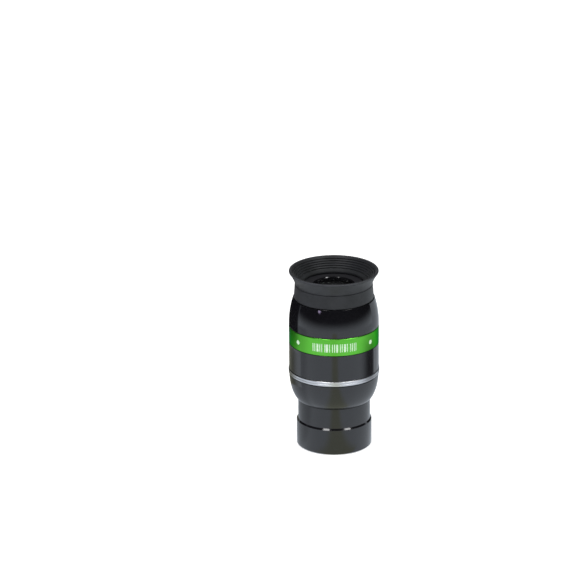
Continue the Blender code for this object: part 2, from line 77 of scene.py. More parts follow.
# Closed grid of points[row, column]: rows run along the profile, columns round the axis
def gridMesh(name, points, heightUv, edge, slots, materials, loopRows=True, loopColumns=True):
    rows, columns = points.shape[:2]
    i = np.arange(rows if loopRows else rows - 1)
    j = np.arange(columns if loopColumns else columns - 1)
    i, j = [a.ravel() for a in np.meshgrid(i, j, indexing="ij")]
    nextI = (i + 1) % rows
    nextJ = (j + 1) % columns
    quads = np.stack([i * columns + j, nextI * columns + j,
                      nextI * columns + nextJ, i * columns + nextJ], axis=1)
    mesh = bpy.data.meshes.new(name)
    mesh.vertices.add(rows * columns)
    mesh.vertices.foreach_set("co", points.astype(np.float32).ravel())
    mesh.loops.add(quads.size)
    mesh.loops.foreach_set("vertex_index", quads.astype(np.int32).ravel())
    mesh.polygons.add(len(quads))
    mesh.polygons.foreach_set("loop_start", np.arange(0, quads.size, 4, dtype=np.int32))
    mesh.polygons.foreach_set("material_index", np.asarray(slots, np.int32)[i])
    mesh.update(calc_edges=True)
    u = np.stack([j, j, j + 1, j + 1], axis=1) / columns
    v = np.stack([heightUv[i], heightUv[nextI], heightUv[nextI], heightUv[i]], axis=1)
    layer = mesh.uv_layers.new(name="UVMap")
    layer.data.foreach_set("uv", np.stack([u, v], axis=2).astype(np.float32).ravel())
    # the edge attribute marks bent arcs: real wear on the gloss black, a painted rim highlight on
    # the rubber
    wear = mesh.attributes.new("edge", "FLOAT", "POINT")
    wear.data.foreach_set("value", np.repeat(edge, columns).astype(np.float32))
    for material in materials:
        mesh.materials.append(material)
    mesh.shade_smooth()
    piece = bpy.data.objects.new(name, mesh)
    bpy.context.scene.collection.objects.link(piece)
    return piece


# Profile through corner points, each corner a circular arc tangent to both sides: the arc's
# points turn evenly from one tangent point to the other about the centre on the bisector.
# A guard point lies on each straight beside its arc, so that shading stays flat between arcs.
def roundedProfile(corners, radii, finishes, steps=6, guard=0.07):
    corners = np.array(corners, float)
    radii = np.array(radii, float)
    toLast = np.roll(corners, 1, axis=0) - corners
    toNext = np.roll(corners, -1, axis=0) - corners
    lastLength = np.linalg.norm(toLast, axis=1)
    nextLength = np.linalg.norm(toNext, axis=1)
    toLast /= lastLength[:, None]
    toNext /= nextLength[:, None]
    angle = np.arccos(np.clip((toLast * toNext).sum(axis=1), -1, 1))
    halfTangent = np.maximum(np.tan(angle / 2), 1e-6)
    reach = np.minimum(radii / halfTangent, 0.45 * np.minimum(lastLength, nextLength))
    radii = reach * halfTangent
    start = corners + toLast * reach[:, None]
    end = corners + toNext * reach[:, None]
    bisector = toLast + toNext
    bisector /= np.maximum(np.linalg.norm(bisector, axis=1), 1e-9)[:, None]
    centre = corners + bisector * (radii / np.maximum(np.sin(angle / 2), 1e-6))[:, None]
    turn = np.maximum(math.pi - angle, 1e-4)[:, None, None]
    share = np.linspace(0, 1, steps + 1)[None, :, None]
    arcs = (np.sin((1 - share) * turn) * (start - centre)[:, None]
            + np.sin(share * turn) * (end - centre)[:, None]) / np.sin(turn)
    arcs = centre[:, None] + arcs
    room = np.where(reach > 0, guard, 0.0)
    before = start + toLast * np.minimum(room, 0.2 * lastLength)[:, None]
    after = end + toNext * np.minimum(room, 0.2 * nextLength)[:, None]
    points = np.concatenate([before[:, None], arcs, after[:, None]], axis=1)
    bent = np.zeros(points.shape[:2])
    bent[:, 1:-1] = (reach > 0)[:, None]
    slots = np.repeat(np.array(finishes)[:, None], points.shape[1], axis=1)
    slots[:, :1 + steps // 2] = np.roll(finishes, 1)[:, None]
    points = points.reshape(-1, 2)
    gap = np.linalg.norm(points - np.roll(points, 1, axis=0), axis=1)
    kept = gap > 1e-5
    return points[kept], bent.ravel()[kept], slots.ravel()[kept]


# Adds points to the profile's straight runs that lie between two heights near one radius: each
# such run is split evenly into pieces no shorter than the spacing
def denseRun(profile, radius, low, high, spacing):
    points, bent, slots = profile
    after = np.roll(points, -1, axis=0)
    length = np.linalg.norm(after - points, axis=1)
    inside = ((np.minimum(points[:, 1], after[:, 1]) >= low - 0.01)
              & (np.maximum(points[:, 1], after[:, 1]) <= high + 0.01)
              & (np.abs(points[:, 0] - radius) < 0.02) & (np.abs(after[:, 0] - radius) < 0.02))
    count = np.where(inside, np.maximum(1, (length / spacing).astype(int)), 1)
    source = np.repeat(np.arange(len(points)), count)
    step = np.arange(len(source)) - np.repeat(np.cumsum(count) - count, count)
    share = (step / count[source])[:, None]
    points = points[source] + (after - points)[source] * share
    return points, (bent * np.roll(bent, -1))[source], slots[source]


# Surface of revolution: x = r cos a, y = r sin a, z = height, in millimetres from the profile.
# A thread adds depth * triangle(height / pitch - a / turn) to the radius between two heights.
def lathe(name, profile, materials, columns=256, threads=()):
    points, bent, slots = profile
    angle = np.arange(columns) / columns * math.tau
    radius = np.repeat(points[:, :1], columns, axis=1)
    height = np.repeat(points[:, 1:], columns, axis=1)
    for t in threads:
        phase = height / t["pitch"] - angle[None, :] / math.tau * t.get("starts", 1)
        tooth = np.abs((phase % 1.0) * 2 - 1)
        fade = np.clip((height - t["low"]) / t["pitch"], 0, 1)
        fade = fade * np.clip((t["high"] - height) / t["pitch"], 0, 1)
        near = np.abs(points[:, :1] - t["radius"]) < 0.02
        radius = radius + near * fade * tooth * t["depth"]
    grid = np.stack([radius * np.cos(angle), radius * np.sin(angle), height], axis=2) * mm
    run = np.concatenate([[0.0], np.cumsum(np.linalg.norm(np.diff(points, axis=0), axis=1))])
    return gridMesh(name, grid, run * mm, bent, slots, materials)


# Arc between two (radius, height) points that starts or ends upright, as part of a circle of
# radius (rise^2 + run^2) / (2 run) whose centre is level with the wider point
def shoulderArc(wide, narrow, steps):
    run = wide[0] - narrow[0]
    rise = narrow[1] - wide[1]
    size = (rise * rise + run * run) / (2 * run)
    angle = np.linspace(0, math.asin(abs(rise) / size), steps + 1)
    radius = wide[0] - size + size * np.cos(angle)
    height = wide[1] + math.copysign(size, rise) * np.sin(angle)
    return [(float(a), float(b)) for a, b in zip(radius, height)]


# Round solid between two height fields: rows go out from the axis on top and back underneath
def discSolid(name, radius, top, bottom, material, rings=28, columns=128):
    angle = np.arange(columns) / columns * math.tau
    out = np.linspace(0, 1, rings) * radius
    grids = []
    for field, distance in ((top, out), (bottom, out[::-1])):
        x = distance[:, None] * np.cos(angle)
        y = distance[:, None] * np.sin(angle)
        grids.append(np.stack([x, y, field(x, y)], axis=2))
    grid = np.concatenate(grids) * mm
    rows = len(grid)
    edge = np.zeros(rows)
    piece = gridMesh(name, grid, np.linspace(0, 1, rows), edge, np.zeros(rows), [material],
                     loopRows=False)
    work = bmesh.new()
    work.from_mesh(piece.data)
    bmesh.ops.remove_doubles(work, verts=work.verts, dist=1e-7)
    work.to_mesh(piece.data)
    work.free()
    piece.data.set_sharp_from_angle(angle=math.radians(40))
    return piece


# Hangs a finished piece on the body it moves with and hides the nodes it stands for
def finishPiece(piece, body, slotName, *nodes):
    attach(piece, body)
    if nodes:
        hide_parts(*nodes)
    return piece


# Materials

# New material with its shader and an object-space position in metres
def startMaterial(name, settings):
    material = bpy.data.materials.new(name)
    material.use_nodes = True
    tree = material.node_tree
    shader = tree.nodes["Principled BSDF"]
    for key, value in settings.items():
        shader.inputs[key].default_value = value
    place = addNode(tree, "ShaderNodeTexCoord").outputs["Object"]
    return material, tree, shader, place


# Height of an object-space position, which turning lines follow
def heightOf(tree, place):
    return addNode(tree, "ShaderNodeSeparateXYZ", links={0: place}).outputs["Z"]


# Black anodised aluminium, turned and sealed to a gloss: a clear hard oxide film over dyed black.
# The eye sees an almost black ground and a sharp, weak reflection, with turning lines and smudges.
def makeGlossBlack():
    # turning lines are really about 0.08 mm apart; drawn coarser so that they show
    look = {"ground": "#0b0b0d", "dyeDrift": "#131316", "roughness": (0.075, 0.15),
            "smudgeMm": 14.0, "lineMm": 0.35, "lineBumpMm": 0.0012, "lineStrength": 0.35,
            "wear": "#6c6d70", "nickMm": 1.2, "nickShare": 0.35}
    material, tree, shader, place = startMaterial("glossBlackAnodised", {
        "Metallic": 0.0, "IOR": 1.5})
    smudge = addNode(tree, "ShaderNodeTexNoise", {"Scale": 1 / (look["smudgeMm"] * mm),
                     "Detail": 5.0, "Roughness": 0.62}, {"Vector": place})
    spread = addNode(tree, "ShaderNodeMapRange", {1: 0.35, 2: 0.75, 3: look["roughness"][0],
                     4: look["roughness"][1]}, {0: smudge.outputs["Fac"]})
    tree.links.new(spread.outputs[0], shader.inputs["Roughness"])
    lines = addNode(tree, "ShaderNodeTexNoise", {"noise_dimensions": "1D", "Detail": 3.0,
                    "Scale": 1 / (look["lineMm"] * mm)}, {"W": heightOf(tree, place)})
    bump = addNode(tree, "ShaderNodeBump", {"Strength": look["lineStrength"],
                   "Distance": look["lineBumpMm"] * mm}, {"Height": lines.outputs["Fac"]})
    tree.links.new(bump.outputs[0], shader.inputs["Normal"])
    ground = addNode(tree, "ShaderNodeMix", {"data_type": "RGBA", 6: linearColour(look["ground"]),
                     7: linearColour(look["dyeDrift"])}, {0: smudge.outputs["Fac"]})
    edge = addNode(tree, "ShaderNodeAttribute", {"attribute_name": "edge"})
    nicks = addNode(tree, "ShaderNodeTexNoise", {"Scale": 1 / (look["nickMm"] * mm),
                    "Detail": 4.0}, {"Vector": place})
    nicked = addNode(tree, "ShaderNodeMapRange", {1: 0.6, 2: 0.75, 3: 0.0,
                     4: look["nickShare"]}, {0: nicks.outputs["Fac"]})
    worn = addNode(tree, "ShaderNodeMath", {"operation": "MULTIPLY"},
                   {0: edge.outputs["Fac"], 1: nicked.outputs[0]})
    colour = addNode(tree, "ShaderNodeMix", {"data_type": "RGBA", 7: linearColour(look["wear"])},
                     {0: worn.outputs[0], 6: ground.outputs[2]})
    tree.links.new(colour.outputs[2], shader.inputs["Base Color"])
    return material


# Black anodised aluminium, bead-blasted and left unsealed, as inside optics: a dull dark grey
# with a fine even grit that kills glints
def makeMatteBlack():
    # blasting grit leaves pits of about 0.05 mm; drawn coarser so that they show
    look = {"ground": "#202023", "lift": "#2c2c30", "gritMm": 0.12, "gritBumpMm": 0.006,
            "gritStrength": 0.5, "roughness": (0.42, 0.6)}
    material, tree, shader, place = startMaterial("matteBlackAnodised", {
        "Metallic": 0.0, "IOR": 1.45})
    grit = addNode(tree, "ShaderNodeTexNoise", {"Scale": 1 / (look["gritMm"] * mm), "Detail": 2.0},
                   {"Vector": place})
    colour = addNode(tree, "ShaderNodeMix", {"data_type": "RGBA", 6: linearColour(look["ground"]),
                     7: linearColour(look["lift"])}, {0: grit.outputs["Fac"]})
    tree.links.new(colour.outputs[2], shader.inputs["Base Color"])
    rough = addNode(tree, "ShaderNodeMapRange", {3: look["roughness"][0],
                    4: look["roughness"][1]}, {0: grit.outputs["Fac"]})
    tree.links.new(rough.outputs[0], shader.inputs["Roughness"])
    bump = addNode(tree, "ShaderNodeBump", {"Strength": look["gritStrength"],
                   "Distance": look["gritBumpMm"] * mm}, {"Height": grit.outputs["Fac"]})
    tree.links.new(bump.outputs[0], shader.inputs["Normal"])
    return material


# Green anodised aluminium: dyed oxide over bare metal, so the reflection itself is green, bright
# where it mirrors the pale room and deep where it mirrors something dark; fine turning lines
def makeGreenAnodised():
    # turning lines are really about 0.08 mm apart; drawn coarser so that they show
    look = {"dye": "#60b43e", "deep": "#59ac39", "edgeTint": "#35a896", "cloudMm": 9.0,
            "roughness": (0.27, 0.36), "lineMm": 0.22, "lineBumpMm": 0.0005, "lineStrength": 0.3}
    material, tree, shader, place = startMaterial("greenAnodised", {
        "Metallic": 0.95, "Specular Tint": linearColour(look["edgeTint"])})
    lines = addNode(tree, "ShaderNodeTexNoise", {"noise_dimensions": "1D", "Detail": 4.0,
                    "Scale": 1 / (look["lineMm"] * mm)}, {"W": heightOf(tree, place)})
    cloud = addNode(tree, "ShaderNodeTexNoise", {"Scale": 1 / (look["cloudMm"] * mm),
                    "Detail": 3.0}, {"Vector": place})
    mixed = addNode(tree, "ShaderNodeMath", {"operation": "MULTIPLY"},
                    {0: lines.outputs["Fac"], 1: cloud.outputs["Fac"]})
    share = addNode(tree, "ShaderNodeMapRange", {1: 0.1, 2: 0.45}, {0: mixed.outputs[0]})
    colour = addNode(tree, "ShaderNodeMix", {"data_type": "RGBA", 6: linearColour(look["dye"]),
                     7: linearColour(look["deep"])}, {0: share.outputs[0]})
    tree.links.new(colour.outputs[2], shader.inputs["Base Color"])
    rough = addNode(tree, "ShaderNodeMapRange", {3: look["roughness"][0],
                    4: look["roughness"][1]}, {0: cloud.outputs["Fac"]})
    tree.links.new(rough.outputs[0], shader.inputs["Roughness"])
    bump = addNode(tree, "ShaderNodeBump", {"Strength": look["lineStrength"],
                   "Distance": look["lineBumpMm"] * mm}, {"Height": lines.outputs["Fac"]})
    tree.links.new(bump.outputs[0], shader.inputs["Normal"])
    return material


# Bare aluminium, turned with a fine diamond tool and polished: a cool bright sheen with tool
# lines, drawn coarser than the real 0.03 mm so that they show
def makePolishedAluminium():
    look = {"metal": "#c2c2c4", "line": "#aeafb1", "lineMm": 0.12, "lineBumpMm": 0.0004,
            "lineStrength": 0.3, "stainMm": 6.0, "roughness": (0.27, 0.38)}
    material, tree, shader, place = startMaterial("polishedAluminium", {"Metallic": 1.0})
    lines = addNode(tree, "ShaderNodeTexNoise", {"noise_dimensions": "1D", "Detail": 3.0,
                    "Scale": 1 / (look["lineMm"] * mm)}, {"W": heightOf(tree, place)})
    stain = addNode(tree, "ShaderNodeTexNoise", {"Scale": 1 / (look["stainMm"] * mm),
                    "Detail": 4.0}, {"Vector": place})
    colour = addNode(tree, "ShaderNodeMix", {"data_type": "RGBA", 6: linearColour(look["metal"]),
                     7: linearColour(look["line"])}, {0: lines.outputs["Fac"]})
    tree.links.new(colour.outputs[2], shader.inputs["Base Color"])
    rough = addNode(tree, "ShaderNodeMapRange", {1: 0.3, 2: 0.7, 3: look["roughness"][0],
                    4: look["roughness"][1]}, {0: stain.outputs["Fac"]})
    tree.links.new(rough.outputs[0], shader.inputs["Roughness"])
    bump = addNode(tree, "ShaderNodeBump", {"Strength": look["lineStrength"],
                   "Distance": look["lineBumpMm"] * mm}, {"Height": lines.outputs["Fac"]})
    tree.links.new(bump.outputs[0], shader.inputs["Normal"])
    return material


# Nitrile rubber, compression moulded: dark grey, dull, with the mould's fine blasted grain and a
# faint bloom of wax that lies in patches; its rounded edges are lightened as a painted rim
# highlight
def makeRubber():
    # the mould's grain is really about 0.05 mm; drawn coarser so that it shows
    look = {"ground": "#262829", "bloom": "#2e3032", "paintedRimLight": "#5a5c60", "paintedRimLightShare": 0.35,
            "grainMm": 0.16, "grainBumpMm": 0.012, "grainStrength": 0.6, "bloomMm": 5.0,
            "roughness": (0.4, 0.54)}
    material, tree, shader, place = startMaterial("nitrileRubber", {
        "Metallic": 0.0, "IOR": 1.48, "Specular IOR Level": 0.24,
        "Sheen Weight": 0.12, "Sheen Roughness": 0.35})
    grain = addNode(tree, "ShaderNodeTexNoise", {"Scale": 1 / (look["grainMm"] * mm),
                    "Detail": 3.0}, {"Vector": place})
    bloom = addNode(tree, "ShaderNodeTexNoise", {"Scale": 1 / (look["bloomMm"] * mm),
                    "Detail": 5.0, "Roughness": 0.6}, {"Vector": place})
    patches = addNode(tree, "ShaderNodeMapRange", {1: 0.35, 2: 0.75}, {0: bloom.outputs["Fac"]})
    colour = addNode(tree, "ShaderNodeMix", {"data_type": "RGBA", 6: linearColour(look["ground"]),
                     7: linearColour(look["bloom"])}, {0: patches.outputs[0]})
    # painted highlight: the edge attribute lightens rounded edges toward pale grey, standing in
    # for rim light from behind
    edge = addNode(tree, "ShaderNodeAttribute", {"attribute_name": "edge"})
    paintedRimLight = addNode(tree, "ShaderNodeMath", {"operation": "MULTIPLY",
                     1: look["paintedRimLightShare"]}, {0: edge.outputs["Fac"]})
    colour = addNode(tree, "ShaderNodeMix", {"data_type": "RGBA", 7: linearColour(look["paintedRimLight"])},
                     {0: paintedRimLight.outputs[0], 6: colour.outputs[2]})
    tree.links.new(colour.outputs[2], shader.inputs["Base Color"])
    rough = addNode(tree, "ShaderNodeMapRange", {3: look["roughness"][0],
                    4: look["roughness"][1]}, {0: bloom.outputs["Fac"]})
    tree.links.new(rough.outputs[0], shader.inputs["Roughness"])
    bump = addNode(tree, "ShaderNodeBump", {"Strength": look["grainStrength"],
                   "Distance": look["grainBumpMm"] * mm}, {"Height": grain.outputs["Fac"]})
    tree.links.new(bump.outputs[0], shader.inputs["Normal"])
    return material


# Optical glass, ground, polished and coated: clear, with a faint tint of its own and a purple
# cast in its reflection from the coating; a touch of dust in the roughness
def makeGlass(name, tint, index):
    look = {"clear": 0.99, "coating": "#d9b8f0", "dustMm": 0.3, "dustRoughness": 0.06}
    material, tree, shader, place = startMaterial(name, {
        "Transmission Weight": look["clear"], "IOR": index,
        "Specular Tint": linearColour(look["coating"])})
    dust = addNode(tree, "ShaderNodeTexNoise", {"Scale": 1 / (look["dustMm"] * mm),
                   "Detail": 3.0}, {"Vector": place})
    rough = addNode(tree, "ShaderNodeMapRange", {1: 0.6, 2: 0.8, 3: 0.0,
                    4: look["dustRoughness"]}, {0: dust.outputs["Fac"]})
    tree.links.new(rough.outputs[0], shader.inputs["Roughness"])
    colour = addNode(tree, "ShaderNodeMix", {"data_type": "RGBA", 6: linearColour(tint),
                     7: linearColour("#f4f4f2")}, {0: dust.outputs["Fac"]})
    tree.links.new(colour.outputs[2], shader.inputs["Base Color"])
    return material


# A turned or rolled metal with fine lines along Z and a slow stain in its roughness
def makePlainMetal(name, bright, dull, roughness, lineMm=0.15, stainMm=2.5, bumpMm=0.003):
    material, tree, shader, place = startMaterial(name, {"Metallic": 1.0})
    lines = addNode(tree, "ShaderNodeTexNoise", {"Scale": 1 / (lineMm * mm), "Detail": 4.0},
                    {"Vector": place})
    stain = addNode(tree, "ShaderNodeTexNoise", {"Scale": 1 / (stainMm * mm), "Detail": 4.0},
                    {"Vector": place})
    colour = addNode(tree, "ShaderNodeMix", {"data_type": "RGBA", 6: linearColour(bright),
                     7: linearColour(dull)}, {0: stain.outputs["Fac"]})
    tree.links.new(colour.outputs[2], shader.inputs["Base Color"])
    rough = addNode(tree, "ShaderNodeMapRange", {3: roughness, 4: roughness + 0.15},
                    {0: lines.outputs["Fac"]})
    tree.links.new(rough.outputs[0], shader.inputs["Roughness"])
    bump = addNode(tree, "ShaderNodeBump", {"Strength": 0.4, "Distance": bumpMm * mm},
                   {"Height": lines.outputs["Fac"]})
    tree.links.new(bump.outputs[0], shader.inputs["Normal"])
    return material


# Pad-printed enamel paint: pale, a little glossy, thin enough to let the green through in places
def makePaint():
    look = {"thin": "#b4dcae", "full": "#cfe3cc", "coverMm": 0.5, "roughness": (0.3, 0.45)}
    material, tree, shader, place = startMaterial("paleEnamelPaint", {
        "Metallic": 0.0, "IOR": 1.5})
    cover = addNode(tree, "ShaderNodeTexNoise", {"Scale": 1 / (look["coverMm"] * mm),
                    "Detail": 3.0}, {"Vector": place})
    thin = addNode(tree, "ShaderNodeMapRange", {1: 0.35, 2: 0.7}, {0: cover.outputs["Fac"]})
    colour = addNode(tree, "ShaderNodeMix", {"data_type": "RGBA", 6: linearColour(look["thin"]),
                     7: linearColour(look["full"])}, {0: thin.outputs[0]})
    tree.links.new(colour.outputs[2], shader.inputs["Base Color"])
    rough = addNode(tree, "ShaderNodeMapRange", {3: look["roughness"][0],
                    4: look["roughness"][1]}, {0: cover.outputs["Fac"]})
    tree.links.new(rough.outputs[0], shader.inputs["Roughness"])
    return material


glossBlack = makeGlossBlack()
matteBlack = makeMatteBlack()
greenAnodised = makeGreenAnodised()
polishedAluminium = makePolishedAluminium()
nitrileRubber = makeRubber()
crownGlass = makeGlass("coatedCrownGlass", "#eef6f1", 1.517)
flintGlass = makeGlass("denseFlintGlass", "#f5efd8", 1.67)
screwSteel = makePlainMetal("stainlessScrewSteel", "#b9babd", "#8f9094", 0.22)
blackenedSteel = makePlainMetal("blackenedSteel", "#4a4b4f", "#303135", 0.35)
springBrass = makePlainMetal("rolledBrass", "#c9a45c", "#a5813c", 0.28)
enamelPaint = makePaint()
print("materials made")


# Nose: barrel, ledge, neck and threads

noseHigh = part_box("nose_barrel")[1]
noseLook = {"radius": noseHigh.x / mm, "top": noseHigh.z / mm, "length": 11.0, "ledge": 0.7,
            "ledgeWidth": 0.595, "spigotRadius": 14.3, "shoulder": 20.4, "chamfer": 0.4,
            "filterRadius": 13.95, "filterLength": 4.5, "boreRadius": 12.2, "boreTop": 14.0,
            "chamberRadius": 13.2, "threadPitch": 0.75, "filterPitch": 0.6, "threadDepth": 0.22}


def makeNose(s):
    r = s["radius"]
    neck = r - s["ledgeWidth"]
    filterRun = (s["chamfer"], s["filterLength"])
    corners = [(s["spigotRadius"], s["top"]), (s["spigotRadius"], s["shoulder"]),
               (neck, s["shoulder"]), (neck, s["length"] + s["ledge"]), (r, s["length"]),
               (r, s["chamfer"]), (r - s["chamfer"], 0.0),
               (s["filterRadius"] + 0.35, 0.0), (s["filterRadius"], filterRun[0]),
               (s["filterRadius"], filterRun[1]), (s["boreRadius"], filterRun[1]),
               (s["boreRadius"], s["boreTop"]), (s["chamberRadius"], s["boreTop"]),
               (s["chamberRadius"], s["top"])]
    radii = [0.2, 0.05, 0.14, 0.05, 0.09, 0.22, 0.12, 0.06, 0.05, 0.03, 0.06, 0.03, 0.03, 0.1]
    profile = roundedProfile(corners, radii, [0] * 6 + [1] * 8)
    profile = denseRun(profile, s["spigotRadius"], s["shoulder"], s["top"], 0.09)
    profile = denseRun(profile, s["filterRadius"], *filterRun, 0.075)
    profile = denseRun(profile, s["boreRadius"], s["filterLength"], s["boreTop"], 0.1)
    threads = [
        {"radius": s["spigotRadius"], "low": s["shoulder"] + 0.6, "high": s["top"] - 0.2,
         "pitch": s["threadPitch"], "depth": -s["threadDepth"]},
        {"radius": s["filterRadius"], "low": filterRun[0] + 0.2, "high": filterRun[1] - 0.3,
         "pitch": s["filterPitch"], "depth": s["threadDepth"]},
        {"radius": s["boreRadius"], "low": s["filterLength"] + 0.3, "high": s["boreTop"] - 0.3,
         "pitch": 0.5, "depth": 0.1, "starts": 0}]
    return lathe("noseBarrel", profile, [glossBlack, matteBlack], threads=threads)


finishPiece(makeNose(noseLook), "nose", "gloss_black", "nose_barrel")
print("nose made")

# Shells: bowl, middle sleeve and head

bowlLow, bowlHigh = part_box("lower_shell")
bowlLook = {"radius": bowlHigh.x / mm, "bottom": bowlLow.z / mm, "top": bowlHigh.z / mm,
            "rim": 32.0, "ellipse": (5.6, 13.5), "ellipseLift": 1.0, "spigotRadius": 17.3,
            "seatRadius": 14.45, "seatTop": 25.3, "lipRadius": 13.4, "lipTop": 26.8,
            "innerRadius": 16.0}


# Bowl: a quarter of an ellipse cut short, with the depth measured from a little above the rim:
# radius = R - a + a * sqrt(1 - ((depth + lift) / b) ** 2)
def makeBowl(s):
    across, down = s["ellipse"]
    depth = np.linspace(0.15, s["rim"] - s["bottom"], 45)
    share = (depth + s["ellipseLift"]) / down
    radius = s["radius"] - across + across * np.sqrt(1 - share * share)
    arc = np.stack([radius, s["rim"] - depth], axis=1).tolist()
    inner = [(s["seatRadius"], s["bottom"]), (s["seatRadius"], s["seatTop"]),
             (s["lipRadius"], s["seatTop"]), (s["lipRadius"], s["lipTop"]),
             (s["innerRadius"], s["lipTop"] + s["innerRadius"] - s["lipRadius"]),
             (s["innerRadius"], s["top"])]
    corners = [(s["spigotRadius"], s["top"]), (s["spigotRadius"], s["rim"]),
               (s["radius"] - 0.12, s["rim"]), *arc, *inner]
    radii = [0.15, 0.05, 0.05] + [0.0] * 44 + [0.12] + [0.12, 0.04, 0.05, 0.05, 0.05, 0.1]
    finishes = [0] * (len(corners) - 6) + [1] * 6
    profile = roundedProfile(corners, radii, finishes)
    profile = denseRun(profile, s["seatRadius"], s["bottom"], s["seatTop"], 0.09)
    threads = [{"radius": s["seatRadius"], "low": s["bottom"] + 0.5, "high": s["seatTop"] - 0.4,
                "pitch": 0.75, "depth": 0.22}]
    return lathe("bowlShell", profile, [glossBlack, matteBlack], threads=threads)


finishPiece(makeBowl(bowlLook), "housing", "gloss_black", "lower_shell")

sleeveLow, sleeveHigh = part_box("middle_sleeve")
sleeveLook = {"radius": sleeveHigh.x / mm, "bottom": sleeveLow.z / mm, "top": sleeveHigh.z / mm,
              "bandBottom": 45.7, "bandTop": 53.5, "bandSeat": 18.2, "tubeRadius": 16.8,
              "spigotSeat": 17.45, "spigotTop": 38.7, "bore": 15.5, "lip": 13.5,
              "lipBottom": 43.8, "lipTop": 45.3}


def makeSleeve(s):
    corners = [(s["tubeRadius"], s["top"]), (s["tubeRadius"], s["bandTop"]),
               (s["bandSeat"], s["bandTop"]), (s["bandSeat"], s["bandBottom"]),
               (s["radius"], s["bandBottom"]), (s["radius"], s["bottom"]),
               (s["spigotSeat"], s["bottom"]), (s["spigotSeat"], s["spigotTop"]),
               (s["bore"], s["spigotTop"]), (s["bore"], s["lipBottom"]),
               (s["lip"], s["lipBottom"]), (s["lip"], s["lipTop"]),
               (s["bore"], s["lipTop"]), (s["bore"], s["top"])]
    radii = [0.1, 0.05, 0.05, 0.05, 0.1, 0.1] + [0.05] * 8
    return lathe("middleSleeve", roundedProfile(corners, radii, [0] * 6 + [1] * 8),
                 [glossBlack, matteBlack])


finishPiece(makeSleeve(sleeveLook), "housing", "gloss_black", "middle_sleeve")

headLow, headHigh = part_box("head_shell")
headLook = {"radius": headHigh.x / mm, "bottom": headLow.z / mm, "top": headHigh.z / mm,
            "shoulder": 65.6, "shoulderRadius": 17.22, "straight": 0.55, "seatRadius": 15.05,
            "tubeSeat": 16.95, "tubeTop": 58.7, "bore": 15.5, "lipBottom": 64.25, "lipTop": 65.25,
            "lip": 12.6, "eyeBore": 13.95}


def makeHead(s):
    arc = shoulderArc((s["radius"], s["bottom"] + s["straight"]),
                      (s["shoulderRadius"], s["shoulder"]), 40)[::-1]
    corners = [(s["seatRadius"], s["top"]), (s["seatRadius"], s["shoulder"]), *arc,
               (s["radius"], s["bottom"]), (s["tubeSeat"], s["bottom"]),
               (s["tubeSeat"], s["tubeTop"]), (s["bore"], s["tubeTop"]),
               (s["bore"], s["lipBottom"]), (s["lip"], s["lipBottom"]), (s["lip"], s["lipTop"]),
               (s["eyeBore"], s["lipTop"]), (s["eyeBore"], s["top"])]
    radii = [0.2, 0.05, 0.12] + [0.0] * 40 + [0.08] + [0.05] * 8
    finishes = [0] * (len(corners) - 8) + [1] * 8
    return lathe("headShell", roundedProfile(corners, radii, finishes), [glossBlack, matteBlack])


finishPiece(makeHead(headLook), "housing", "gloss_black", "head_shell")
print("shells made")

# Trim ring and green band with its printed marks

trimLow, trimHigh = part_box("trim_ring")
trimLook = {"radius": trimHigh.x / mm, "bottom": trimLow.z / mm, "top": trimHigh.z / mm,
            "inner": 17.45, "chamfer": 0.22, "groove": 0.1, "grooveWidth": 0.16}


def makeTrim(s):
    r, middle = s["radius"], (s["bottom"] + s["top"]) / 2
    half = s["grooveWidth"] / 2
    corners = [(r - s["chamfer"], s["top"]), (r, s["top"] - s["chamfer"]),
               (r, middle + half + s["groove"]), (r - s["groove"], middle + half),
               (r - s["groove"], middle - half), (r, middle - half - s["groove"]),
               (r, s["bottom"] + s["chamfer"]), (r - s["chamfer"], s["bottom"]),
               (s["inner"], s["bottom"]), (s["inner"], s["top"])]
    radii = [0.05, 0.1, 0.06, 0.04, 0.04, 0.06, 0.1, 0.05, 0.03, 0.03]
    return lathe("trimRing", roundedProfile(corners, radii, [0] * 10), [polishedAluminium])


finishPiece(makeTrim(trimLook), "housing", "polished_ring", "trim_ring")

bandLow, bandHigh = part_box("green_band")
bandLook = {"radius": bandHigh.x / mm, "bottom": bandLow.z / mm, "top": bandHigh.z / mm,
            "inner": 18.35, "chamfer": 0.24}


def makeBand(s):
    r, c = s["radius"], s["chamfer"]
    corners = [(r - c, s["top"]), (r, s["top"] - c), (r, s["bottom"] + c * 0.6),
               (r - c * 0.6, s["bottom"]), (s["inner"], s["bottom"]), (s["inner"], s["top"])]
    radii = [0.04, 0.06, 0.06, 0.04, 0.03, 0.03]
    return lathe("greenBand", roundedProfile(corners, radii, [0] * 6), [greenAnodised])


finishPiece(makeBand(bandLook), "housing", "green_anodised", "green_band")

# Printed marks: a row of bars like the lines of a spectrum, and a round dot on each side.
# Each bar is (middle, width) in degrees round the axis from the front.
markLook = {"radius": bandLook["radius"] + 0.012, "thickness": 0.02, "middle": 49.3, "height": 3.6,
            "bars": [(-28.2, 1.3), (-25.6, 1.1), (-22.0, 2.6), (-18.9, 1.1), (-16.3, 1.1),
                     (-12.2, 1.3), (-9.6, 3.0), (-6.2, 1.1), (-2.6, 1.1), (0.2, 1.3), (3.4, 2.4),
                     (7.4, 1.1), (9.9, 1.1), (13.4, 2.8), (16.7, 1.1), (20.6, 1.1), (23.2, 1.3),
                     (26.0, 1.1), (28.3, 1.1)],
            "dotAngle": 53.0, "dotHeight": 49.4, "dotRadius": 0.95}


# Point on the band at an angle a from the front and a height: (r sin a, -r cos a, height)
def onBand(s, angle, height):
    return np.stack([s["radius"] * np.sin(angle), -s["radius"] * np.cos(angle), height], axis=-1)


